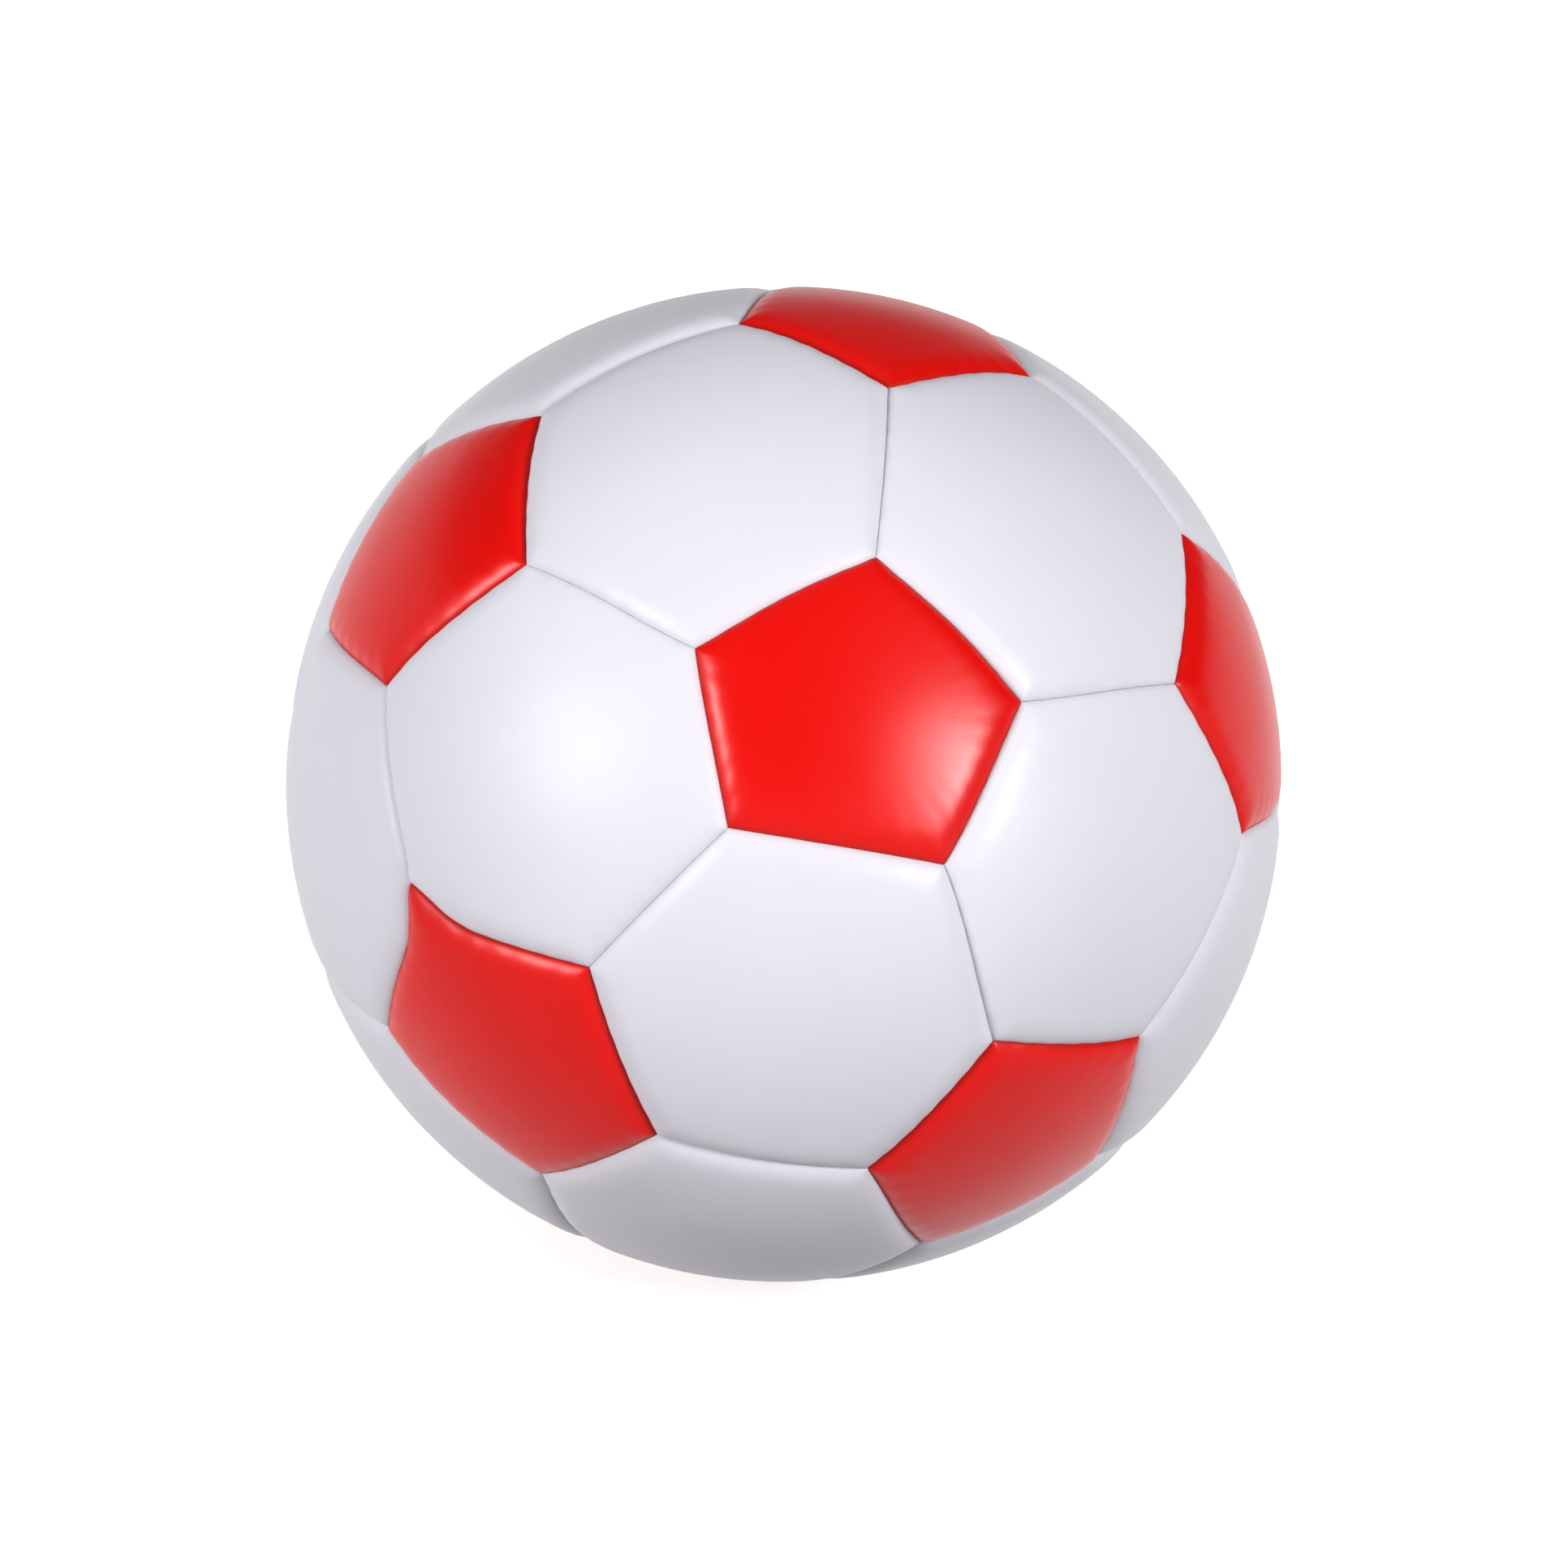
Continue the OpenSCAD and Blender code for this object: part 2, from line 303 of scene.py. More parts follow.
def soft_box(name, sideways, lift, width, height, power):
    """A rectangular lamp that looks at the ball. Its angles from the camera are in degrees."""
    side = radians(sideways)
    rise = radians(lift)
    level = view_back * cos(side) + view_right * sin(side)
    towards = level * cos(rise) + view_up * sin(rise)
    data = bpy.data.lights.new(name, "AREA")
    data.shape = "RECTANGLE"
    data.size = width
    data.size_y = height
    data.energy = power
    lamp = add_object(name, data)
    across = view_up.cross(towards).normalized()
    axes = Matrix((across, towards.cross(across), towards)).transposed()
    lamp.matrix_world = Matrix.Translation(towards * LAMP_DIST) @ axes.to_4x4()
    lamp.visible_camera = False
    return lamp


keys = [
    soft_box("left_soft_box", -46, 3, 0.26, 0.34, 5.75),
    soft_box("right_soft_box", 39, 9, 0.14, 0.28, 6.7),
]
fills = [
    soft_box("far_left_fill", -75, 8, 0.4, 0.5, 1.2),
    soft_box("upper_right_fill", 40, 28, 0.6, 0.6, 0.9),
    soft_box("top_fill", 0, 80, 0.9, 0.9, 1.4),
    soft_box("rear_fill", 0, 163, 0.7, 0.12, 4.5),
]
cards = [
    soft_box("left_large_card", -48, 6, 0.36, 0.5, 3.5),
    soft_box("left_small_card", -46, 8, 0.26, 0.34, 5.5),
    soft_box("right_large_card", 39, 2, 0.3, 0.44, 6.2),
    soft_box("right_small_card", 43, 2, 0.14, 0.28, 6.8),
]
for lamp in keys + fills:
    lamp.visible_glossy = False
for lamp in cards:
    lamp.visible_diffuse = False
print("Lamps:", [lamp.name for lamp in keys + fills + cards])

# %% Floor finish
LIT_GREY = (0.30, 0.30, 0.305, 1)
SEEN_GREY = (0.5, 0.5, 0.5, 1)
WHITE = (1, 1, 1, 1)
SEEN_GLOW = 0.86
FAR_GLOW = 0.98
FAR_R = 0.6


def studio_floor():
    """Lights the ball as pale grey. Seen directly, mirrored or through glass it is nearly white."""
    material = bpy.data.materials.new("studio_floor")
    material.use_nodes = True
    tree = material.node_tree
    tree.nodes.clear()
    path = add_node(tree, "ShaderNodeLightPath")
    seen = Field(tree, path.outputs["Is Camera Ray"])
    for ray in ("Is Glossy Ray", "Is Transmission Ray"):
        seen = seen.math("MAXIMUM", Field(tree, path.outputs[ray]))
    distance = vector_math("LENGTH", coordinates(tree), output="Value")
    top_up = SEEN_GLOW + (FAR_GLOW - SEEN_GLOW) * (distance / FAR_R).smooth()
    glow = result(tree, "ShaderNodeEmission", {"Color": WHITE, "Strength": top_up})
    shadowed = result(tree, "ShaderNodeBsdfDiffuse", {"Color": SEEN_GREY})
    topped_up = result(tree, "ShaderNodeAddShader", {0: shadowed, 1: glow})
    lit = result(tree, "ShaderNodeBsdfDiffuse", {"Color": LIT_GREY})
    either = result(tree, "ShaderNodeMixShader", {"Fac": seen, 1: lit, 2: topped_up})
    add_node(tree, "ShaderNodeOutputMaterial", {"Surface": either})
    return material


floor_finish = studio_floor()
print("Floor finish:", len(floor_finish.node_tree.nodes), "nodes")

# %% Floor
COVE_R = 4.0
COVE_BEND_R = 0.8
COVE_WALL = 0.2
COVE_STEPS = 12
POLE_R = 1e-7


def cove_outline():
    """Radius and height of the floor from its middle to the top of its wall."""
    bend = [pi / 2 * k / COVE_STEPS for k in range(COVE_STEPS + 1)]
    middle = COVE_R - COVE_BEND_R
    rise = [(middle + COVE_BEND_R * sin(a), COVE_BEND_R * (1 - cos(a))) for a in bend]
    return [(0, 0), *rise, (COVE_R, COVE_BEND_R + COVE_WALL)]


def spin_outline(outline, steps, closed=False):
    """Turns an outline of (radius, height) points round +Z. The solid is on the outline's left."""
    spots = []
    rings = []
    for radius, height in outline:
        count = steps if radius > POLE_R else 1
        rings.append([len(spots) + k % count for k in range(steps + 1)])
        turns = [2 * pi * k / steps for k in range(count)]
        spots += [(radius * cos(a), radius * sin(a), height) for a in turns]
    faces = []
    for low, high in zip(rings, rings[1:] + rings[:closed]):
        for k in range(steps):
            corners = (low[k], low[k + 1], high[k + 1], high[k])
            faces.append(tuple(dict.fromkeys(corners)))
    mesh = bpy.data.meshes.new("spun")
    mesh.from_pydata(spots, [], faces)
    mesh.shade_smooth()
    return mesh


floor = add_object("studio_floor", spin_outline(cove_outline(), steps=64))
floor.data.transform(Matrix.Translation((0, 0, cad_low.z)))
floor.data.materials.append(floor_finish)
print("Floor at", round(cad_low.z / MM, 1), "mm")

# %% [markdown]
# ## Finishes
# Each finish is a node material on Object coordinates, or on an attribute that the piece carries,
# so the pattern stays on the piece wherever it goes. The helpers below only make the wiring short.
# The scale of a pattern is in cells per metre.

# %% Finish helpers
def new_finish(name, roughness=0.5, **constants):
    """A material with one Principled shader. What is the same all over goes straight on it."""
    material = bpy.data.materials.new(name)
    material.use_nodes = True
    tree = material.node_tree
    shader = tree.nodes["Principled BSDF"]
    shader.inputs["Roughness"].default_value = roughness
    for socket, value in constants.items():
        shader.inputs[socket.replace("_", " ")].default_value = value
    return material, tree, shader


def carried(tree, attribute, output="Fac"):
    """A value that the mesh carries with it."""
    return result(tree, "ShaderNodeAttribute", output=output, attribute_name=attribute)


def components(vector):
    node = add_node(vector.tree, "ShaderNodeSeparateXYZ", {"Vector": vector})
    return [Field(vector.tree, socket) for socket in node.outputs]


def noise(place, scale, detail=2.0, roughness=0.5):
    inputs = {"Vector": place, "Scale": scale, "Detail": detail, "Roughness": roughness}
    return result(place.tree, "ShaderNodeTexNoise", inputs)


def cells(place, scale):
    inputs = {"Vector": place, "Scale": scale}
    return result(place.tree, "ShaderNodeTexVoronoi", inputs, "Distance")


def wave(field):
    """A smooth wave between 0 and 1 with its crests at whole numbers."""
    return (field * (2 * pi)).math("COSINE") * 0.5 + 0.5


def between(share, first, second):
    """A colour that goes from the first to the second as share goes from 0 to 1."""
    inputs = {"Factor": share, 6: first, 7: second}
    return result(share.tree, "ShaderNodeMix", inputs, 2, data_type="RGBA")


def dress(shader, colour, height, depth, strength):
    """Colour and fine relief of a surface; height runs from 0 to 1 and depth is in metres."""
    plug(shader.inputs["Base Color"], colour)
    inputs = {"Height": height, "Distance": depth, "Strength": strength}
    plug(shader.inputs["Normal"], result(height.tree, "ShaderNodeBump", inputs, "Normal"))


def shade(colour, factor=1):
    """A colour made lighter or darker."""
    return tuple(min(1.0, channel * factor) for channel in colour) + (1,)


# %% [markdown]
# ### Synthetic leather
# The skin is foamed plastic with a smooth glossy top coat. The colour is even, with a faint cloud
# in it. Where the edge rolls down into the seam, painted shade and grime darken it. The gloss is
# soft and slightly patchy. A very fine grain breaks it up close to. The distance from the seam
# comes from the panel itself.

# %% Red and white leather
PENTAGON_RED = (0.80, 0.004, 0.002)
HEXAGON_WHITE = (0.80, 0.785, 0.86)
# the seam colours are painted shade and grime in the seam's groove
RED_SEAM_GRIME_AND_SHADE = (0.50, 0.006, 0.004)
WHITE_SEAM_GRIME_AND_SHADE = (0.70, 0.69, 0.75)
CLOUD_DARK = 0.965
CLOUD_LIGHT = 1.03
GROOVE_W = 1.0 * MM
LEAST_SEAM_GRIME_AND_SHADE = 0.55
MORE_SEAM_GRIME_AND_SHADE = 0.3
PATCHY_ROUGH = 0.06
GROOVE_ROUGH = 0.15
CELL_SHARE = 0.6


def synthetic_leather(name, colour, seam_grime_and_shade_colour, gloss, roughness):
    material, tree, shader = new_finish(name, Specular_IOR_Level=gloss)
    place = coordinates(tree)
    cloud = noise(place, scale=38, detail=3)
    even = between(cloud, shade(colour, CLOUD_DARK), shade(colour, CLOUD_LIGHT))
    groove = 1 - (carried(tree, "seam_distance") / GROOVE_W).smooth()
    # painted shade and grime: the colour goes darker into the seam's groove, a little unevenly
    seam_grime_and_shade = groove * (LEAST_SEAM_GRIME_AND_SHADE + MORE_SEAM_GRIME_AND_SHADE * noise(place, scale=420))
    coloured = between(seam_grime_and_shade, even, shade(seam_grime_and_shade_colour))
    patchy = noise(place, scale=95, detail=4, roughness=0.6)
    uneven = roughness + PATCHY_ROUGH * patchy + GROOVE_ROUGH * groove
    plug(shader.inputs["Roughness"], uneven)
    grain = CELL_SHARE * cells(place, scale=1500) + (1 - CELL_SHARE) * noise(place, scale=2600)
    dress(shader, coloured, grain, depth=0.02 * MM, strength=0.35)
    return material


red_leather = synthetic_leather("red_leather", PENTAGON_RED, RED_SEAM_GRIME_AND_SHADE, gloss=0.22, roughness=0.27)
white_leather = synthetic_leather(
    "white_leather", HEXAGON_WHITE, WHITE_SEAM_GRIME_AND_SHADE, gloss=0.115, roughness=0.31,
)
print("Skins:", red_leather.name, white_leather.name)

# %% [markdown]
# ### Foam, cloth and thread
# The foam shows its closed cells, with painted shade in their pits. The cloth is a plain weave: two
# sets of yarn that pass over and under each other, drawn on the flat place that each layer carries
# from its cutting pattern, with painted shade where the yarns part. The thread is a twisted yarn,
# and its twist follows the run of the thread and the way round it, with painted shade in the
# grooves of the twist.

# %% Foam
# the darker foam colour is painted shade in the cells' pits
FOAM_PAINTED_PIT_SHADE = (0.5, 0.5, 0.48, 1)
FOAM_LIGHT = (0.66, 0.66, 0.63, 1)


def closed_cell_foam():
    material, tree, shader = new_finish("closed_cell_foam", 0.85, Specular_IOR_Level=0.3)
    cell = cells(coordinates(tree), scale=1100)
    # painted shade: darker where the cells' relief is low
    dress(shader, between(cell, FOAM_PAINTED_PIT_SHADE, FOAM_LIGHT), cell, depth=0.12 * MM, strength=0.7)
    return material


foam_finish = closed_cell_foam()
print("Foam:", foam_finish.name)

# %% Cloth and thread
YARN_PITCH = 0.55 * MM
YARN_DARK = (0.60, 0.55, 0.42, 1)
YARN_LIGHT = (0.74, 0.70, 0.58, 1)
# painted shade where the yarns part
PAINTED_SHADE_BETWEEN_YARNS = (0.33, 0.30, 0.22, 1)
TWIST_PITCH = 0.9 * MM
# the darker thread colour is painted shade in the grooves of the twist
TWIST_PAINTED_GROOVE_SHADE = (0.58, 0.57, 0.55, 1)
TWIST_LIGHT = (0.84, 0.83, 0.80, 1)


def woven_cloth():
    gloss = {"Specular_IOR_Level": 0.25, "Sheen_Weight": 0.25}
    material, tree, shader = new_finish("woven_cloth", 0.8, **gloss)
    flat_x, flat_y, _ = components(carried(tree, "flat_place", "Vector"))
    warp = flat_x / YARN_PITCH
    weft = flat_y / YARN_PITCH
    over = ((warp.math("FLOOR") + weft.math("FLOOR")) * 0.5).math("FRACT") * 2
    height = wave(warp + 0.5) * over + wave(weft + 0.5) * (1 - over)
    slub = noise(coordinates(tree), scale=300, detail=3)
    yarn = between(slub, YARN_DARK, YARN_LIGHT)
    # painted shade: the colour goes dark where the weave's relief is low, between the yarns
    dress(shader, between(height, PAINTED_SHADE_BETWEEN_YARNS, yarn), height, depth=0.15 * MM, strength=0.8)
    return material


def twisted_thread():
    gloss = {"Specular_IOR_Level": 0.4, "Sheen_Weight": 0.3}
    material, tree, shader = new_finish("twisted_thread", 0.55, **gloss)
    ply = wave(carried(tree, "thread_along") / TWIST_PITCH + carried(tree, "thread_round"))
    # painted shade: darker where the twist's relief is low
    dress(shader, between(ply, TWIST_PAINTED_GROOVE_SHADE, TWIST_LIGHT), ply, depth=0.1 * MM, strength=0.7)
    return material


cloth_finish = woven_cloth()
thread_finish = twisted_thread()
print("Cloth and thread:", cloth_finish.name, thread_finish.name)

# %% [markdown]
# ### Rubber
# The bladder is thin black rubber that still carries some of the talc from its mould. The valve's
# housing is a firmer grey rubber, and its core is a soft pale one, so that it shows in the panel.

# %% Rubber finishes
DUST_START = 0.42
DUST_RANGE = 0.25
DUST_ROUGH = 0.25


def rubber(name, colour, dust_colour, dust, roughness):
    material, tree, shader = new_finish(name, Specular_IOR_Level=0.4)
    place = coordinates(tree)
    cloud = noise(place, scale=120, detail=5, roughness=0.65)
    powder = ((cloud - DUST_START) / DUST_RANGE).smooth() * dust
    plug(shader.inputs["Roughness"], roughness + DUST_ROUGH * powder)
    dusty = between(powder, shade(colour), shade(dust_colour))
    grain = noise(place, scale=1800, detail=3)
    dress(shader, dusty, grain, depth=0.03 * MM, strength=0.5)
    return material


bladder_finish = rubber(
    "black_bladder_rubber", (0.02, 0.02, 0.022), (0.32, 0.31, 0.30), dust=0.5, roughness=0.5,
)
housing_finish = rubber(
    "grey_housing_rubber", (0.06, 0.06, 0.065), (0.16, 0.16, 0.16), dust=0.4, roughness=0.45,
)
core_finish = rubber(
    "pale_core_rubber", (0.66, 0.65, 0.62), (0.76, 0.75, 0.72), dust=0.6, roughness=0.4,
)
print("Rubber:", bladder_finish.name, housing_finish.name, core_finish.name)

# %% [markdown]
# ## One rule for every panel layer
# A panel could be modelled by hand and copied, but skins, pads and linings of both kinds all follow
# one rule, so one Geometry Nodes tree makes them. It starts from a flat grid. One direction of the
# grid runs round the panel's edges. The other runs along a section through the layer: from the
# crown over the shoulder, down the hem, round its end and back under the skin. The grid is then
# bent into place: each point gets a direction from the ball's centre and a distance along it.

# %% Tree helpers
def new_tree(name, inputs):
    """A Geometry Nodes tree with named inputs, given as name: kind of socket."""
    tree = bpy.data.node_groups.new(name, "GeometryNodeTree")
    tree.interface.new_socket("Geometry", in_out="OUTPUT", socket_type="NodeSocketGeometry")
    for label, kind in inputs.items():
        tree.interface.new_socket(label, in_out="INPUT", socket_type="NodeSocket" + kind)
    source = tree.nodes.new("NodeGroupInput")
    return tree, {label: Field(tree, source.outputs[label]) for label in inputs}


def position(tree):
    return result(tree, "GeometryNodeInputPosition")


def grid(tree, width, columns, rows):
    """A flat grid, 1 high and as wide as it is told, with so many points each way."""
    inputs = {"Size X": width, "Size Y": 1.0, "Vertices X": columns, "Vertices Y": rows}
    return result(tree, "GeometryNodeMeshGrid", inputs)


def point_value(tree, name, kind):
    """A value that the tree's input mesh has on its points."""
    return result(tree, "GeometryNodeInputNamedAttribute", {"Name": name}, data_type=kind)


def vector_of(tree, x, y, z):
    return result(tree, "ShaderNodeCombineXYZ", {"X": x, "Y": y, "Z": z})


def turned(angles):
    return result(angles.tree, "FunctionNodeEulerToRotation", {"Euler": angles})


# %% Mesh helpers of the trees
MEET_DIST = 1e-6


def stored(mesh, name, value, kind="FLOAT"):
    """The mesh with a value kept on its points under a name."""
    inputs = {"Geometry": mesh, "Name": name}
    node = add_node(mesh.tree, "GeometryNodeStoreNamedAttribute", inputs, data_type=kind)
    plug(next(s for s in node.inputs if s.name == "Value" and s.enabled), value)
    return Field(mesh.tree, node.outputs[0])


def bent(mesh, spot):
    """The mesh with every point moved to its spot. Points that meet there become one."""
    moved = result(mesh.tree, "GeometryNodeSetPosition", {"Geometry": mesh, "Position": spot})
    inputs = {"Geometry": moved, "Distance": MEET_DIST}
    return result(mesh.tree, "GeometryNodeMergeByDistance", inputs)


def joined(parts):
    node = add_node(parts[0].tree, "GeometryNodeJoinGeometry")
    for part in parts:
        plug(node.inputs[0], part)
    return Field(parts[0].tree, node.outputs[0])


def on_points(points, inputs):
    """Copies of an instance, one on each chosen point."""
    return result(points.tree, "GeometryNodeInstanceOnPoints", {"Points": points, **inputs})


def realized(copies):
    return result(copies.tree, "GeometryNodeRealizeInstances", {"Geometry": copies})


def end_tree(mesh, material):
    """The last nodes of a tree: the mesh is shaded smooth and gets its finish."""
    smooth = result(mesh.tree, "GeometryNodeSetShadeSmooth", {"Geometry": mesh})
    inputs = {"Geometry": smooth, "Material": material}
    finished = result(mesh.tree, "GeometryNodeSetMaterial", inputs)
    add_node(mesh.tree, "NodeGroupOutput", {"Geometry": finished})


# %% [markdown]
# The section is walked in stages, each with its own number of rows. Near the seam the skin first
# falls away in a soft shoulder a few millimetres wide, then in a tight roll that ends upright in
# the seam. Corners are eased, because leather cannot turn a sharp corner over a roll. Each stitch
# draws the edge in a little, so the shoulder puckers at the stitches' spacing.

# %% Section of a panel
ROWS = {"wall": 2, "crown": 18, "roll": 8, "hem": 3, "end": 1, "inside": 3, "under": 7}


def stages(row):
    """For each stage of the section, how much of it a row has behind it, from 0 to 1."""
    done = {}
    first_row = 0
    for stage, count in ROWS.items():
        done[stage] = ((row - first_row) / count).clamped()
        first_row += count
    return done


def section_inset(size, done, roll_turn, half_width):
    """How far in from the panel's edge a row of the section lies."""
    return (
        size["Edge inset"]
        + size["Roll width"] * (1 - roll_turn.math("SINE"))
        + (half_width - size["Edge inset"] - size["Roll width"]) * (1 - done["crown"].smooth())
        + size["Hem thickness"] * done["end"]
        + (half_width - size["Edge inset"] - size["Hem thickness"]) * done["under"]
    )


print("A section of", sum(ROWS.values()), "rows in", len(ROWS), "stages")

# %% Outline of a panel and its fall to the seam
CORNER_POWER = 5
SHOULDER_POWER = 3
PUCKER_REACH = 2.2 * MM
PUCKER_END = 0.8
PUCKER_FADE = 6


def outline_point(size, across, shoulder):
    """A point of the flat outline, with corners 1 from its middle, and its place on its edge."""
    half_turn = pi / size["Sides"]
    place = (across + 0.5) * size["Sides"]
    edge = place.math("FRACT") * 2 - 1
    edge_turn = (place.math("FLOOR") + 0.5) * half_turn * 2
    ease = half_turn.math("SINE") ** 2 / CORNER_POWER * shoulder.smooth()
    eased = ease * edge.math("ABSOLUTE") ** CORNER_POWER
    out = half_turn.math("COSINE") * (1 - eased)
    beside = half_turn.math("SINE") * (edge - edge.math("SIGN") * eased)
    x = out * edge_turn.math("COSINE") - beside * edge_turn.math("SINE")
    y = out * edge_turn.math("SINE") + beside * edge_turn.math("COSINE")
    return x, y, edge


def seam_drop(size, inset, shoulder, roll_turn, edge):
    """How far the skin falls towards the seam by its shoulder, its roll and the stitches' pull."""
    at_corner = ((edge.math("ABSOLUTE") - PUCKER_END) * PUCKER_FADE).smooth()
    stitch = wave(edge * size["Stitches"] * 0.5 - 0.5) * (1 - at_corner)
    pucker = size["Pucker"] * stitch * (0 - inset / PUCKER_REACH).math("EXPONENT")
    return (
        size["Shoulder depth"] * (1 - shoulder) ** SHOULDER_POWER
        + size["Roll depth"] * (1 - roll_turn.math("COSINE"))
        + pucker
    )


def dome_radius(crown, shift, upright):
    """Distance from the ball's centre to a dome, in a direction with that share along the axis."""
    dome = crown - shift
    return shift * upright + (dome * dome - shift * shift * (1 - upright * upright)).math("SQRT")


# %% Panel slab tree
LIP_W = 1.2 * MM
NO_HOLE = 1e-6
SLAB_SIZES = (
    "Corner angle", "Edge angle", "Edge inset", "Outer crown", "Outer shift", "Inner crown",
    "Inner shift", "Shoulder width", "Shoulder depth", "Roll width", "Roll depth",
    "Hem thickness", "Hem radius", "Hole radius", "Lip depth", "Stitches", "Pucker",
)
SLAB_INPUTS = {"Sides": "Int", "Columns": "Int", **dict.fromkeys(SLAB_SIZES, "Float")}


def build_slab_tree():
    tree, size = new_tree("panel_slab", SLAB_INPUTS)
    rows = sum(ROWS.values())
    flat_grid = grid(tree, 1.0, size["Sides"] * size["Columns"] + 1, rows + 1)
    across, along, _ = components(position(tree))
    done = stages((along + 0.5) * rows)
    roll_turn = done["roll"] * (pi / 2)
    crown = size["Outer crown"]
    edge_angle = size["Edge angle"]
    half_width = crown * edge_angle.math("SINE") * edge_angle.math("COSINE")
    inset = section_inset(size, done, roll_turn, half_width)
    share = 1 - inset / half_width
    shoulder = ((inset - size["Edge inset"]) / size["Shoulder width"]).clamped()

    rim_x, rim_y, edge = outline_point(size, across, shoulder)
    rim = (rim_x * rim_x + rim_y * rim_y).math("SQRT")
    slope = size["Corner angle"].math("TANGENT")
    hole = size["Hole radius"] / (crown * slope)
    has_hole = hole.math("GREATER_THAN", NO_HOLE)
    reach = (rim * share + hole * (1 - share)) * slope / rim
    flat_x = rim_x * reach
    flat_y = rim_y * reach
    upright = 1 / (flat_x * flat_x + flat_y * flat_y + 1).math("SQRT")

    lip = size["Lip depth"] * (1 - (share * half_width / LIP_W).clamped()) ** 2 * has_hole
    drop = seam_drop(size, inset, shoulder, roll_turn, edge) + lip
    inner = dome_radius(size["Inner crown"], size["Inner shift"], upright)
    outer = dome_radius(crown, size["Outer shift"], upright) - drop
    wall = inner + (outer - inner) * done["wall"].math("MAXIMUM", 1 - has_hole)
    hem = wall + (size["Hem radius"] - wall) * done["hem"]
    radius = hem + (inner - hem) * done["inside"]

    mesh = stored(flat_grid, "seam_distance", inset - size["Edge inset"])
    flat_place = vector_of(tree, flat_x * crown, flat_y * crown, 0.0)
    mesh = stored(mesh, "flat_place", flat_place, "FLOAT_VECTOR")
    spot = vector_of(tree, flat_x * upright * radius, flat_y * upright * radius, upright * radius)
    outward = result(tree, "GeometryNodeFlipFaces", {"Mesh": bent(mesh, spot)})
    add_node(tree, "NodeGroupOutput", {"Geometry": outward})
    return tree


slab_tree = build_slab_tree()
print("Slab tree:", len(slab_tree.nodes), "nodes")

# %% [markdown]
# The second tree puts slabs on the ball. Its input mesh has one point for each panel, and the point
# carries the panel's turn and whether the valve goes through it. A layer is never quite even, so
# its surface is raised and lowered a little by a slow noise in the ball's own space.

# %% Panel layer tree
LAYER_INPUTS = {
    "Geometry": "Geometry", **SLAB_INPUTS, "Unevenness": "Float", "Material": "Material",
}


def build_layer_tree():
    tree, size = new_tree("panel_layer", LAYER_INPUTS)
    rotation = turned(point_value(tree, "turn", "FLOAT_VECTOR"))
    with_valve = point_value(tree, "valve", "FLOAT")
    slabs = []
    for chosen, hole in ((1 - with_valve, 0.0), (with_valve, size["Hole radius"])):
        values = {name: size[name] for name in SLAB_INPUTS}
        values["Hole radius"] = hole
        slab = result(tree, "GeometryNodeGroup", values, node_tree=slab_tree)
        inputs = {"Selection": chosen, "Instance": slab, "Rotation": rotation}
        slabs.append(on_points(size["Geometry"], inputs))
    whole = realized(joined(slabs))

    here = position(tree)
    rise = (noise(here, scale=70) - 0.5) * size["Unevenness"]
    lift = vector_math("SCALE", vector_math("NORMALIZE", here), {"Scale": rise})
    uneven = result(tree, "GeometryNodeSetPosition", {"Geometry": whole, "Offset": lift})
    end_tree(uneven, size["Material"])
    return tree


layer_tree = build_layer_tree()
print("Layer tree:", len(layer_tree.nodes), "nodes")

# %% [markdown]
# ## From a tree to a plain mesh
# A modifier's inputs are set by their identifiers before Blender first works the tree out. The
# result is then copied into a plain mesh, and the modifier is removed.

# %% Making a piece
def points_mesh(turns, valves=None):
    """A mesh of points at the ball's centre, each with the turn that its copy gets."""
    mesh = bpy.data.meshes.new("points")
    mesh.from_pydata([(0, 0, 0)] * len(turns), [], [])
    turn = mesh.attributes.new("turn", "FLOAT_VECTOR", "POINT")
    angles = [angle for matrix in turns for angle in matrix.to_euler("XYZ")]
    turn.data.foreach_set("vector", angles)
    valve = mesh.attributes.new("valve", "FLOAT", "POINT")
    valve.data.foreach_set("value", valves or [0.0] * len(turns))
    return mesh


def apply_modifiers(piece):
    """Puts what the modifiers make in place of the piece's own mesh."""
    before = piece.data
    made = piece.evaluated_get(bpy.context.evaluated_depsgraph_get())
    mesh = bpy.data.meshes.new_from_object(made)
    piece.modifiers.clear()
    piece.data = mesh
    bpy.data.meshes.remove(before)
    mesh.name = piece.name


def grow(name, points, tree, values):
    """A new object whose mesh is what the tree makes of the points."""
    piece = add_object(name, points)
    modifier = piece.modifiers.new(tree.name, "NODES")
    modifier.node_group = tree
    for item in tree.interface.items_tree:
        if item.in_out == "INPUT" and item.name in values:
            modifier[item.identifier] = values[item.name]
    apply_modifiers(piece)
    return piece


def hand_over(piece, body, node):
    """The finished piece rides on its body and stands for its CAD node."""
    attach(piece, body)
    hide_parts(node)


# %% [markdown]
# ## Seams that wander
# Panels are cut with a die but sewn by hand, so on a real ball the seams do not meet exactly where
# the solid says. The whole cover gets one small slide along the ball: a slow wave everywhere, and a
# larger step at each corner that is clearly off. A step is given in millimetres to the right and up
# as the camera sees it. One lower corner is drawn out into a thin point, so its step reaches less
# far. Round the valve nothing slides, because its pieces are moulded true.

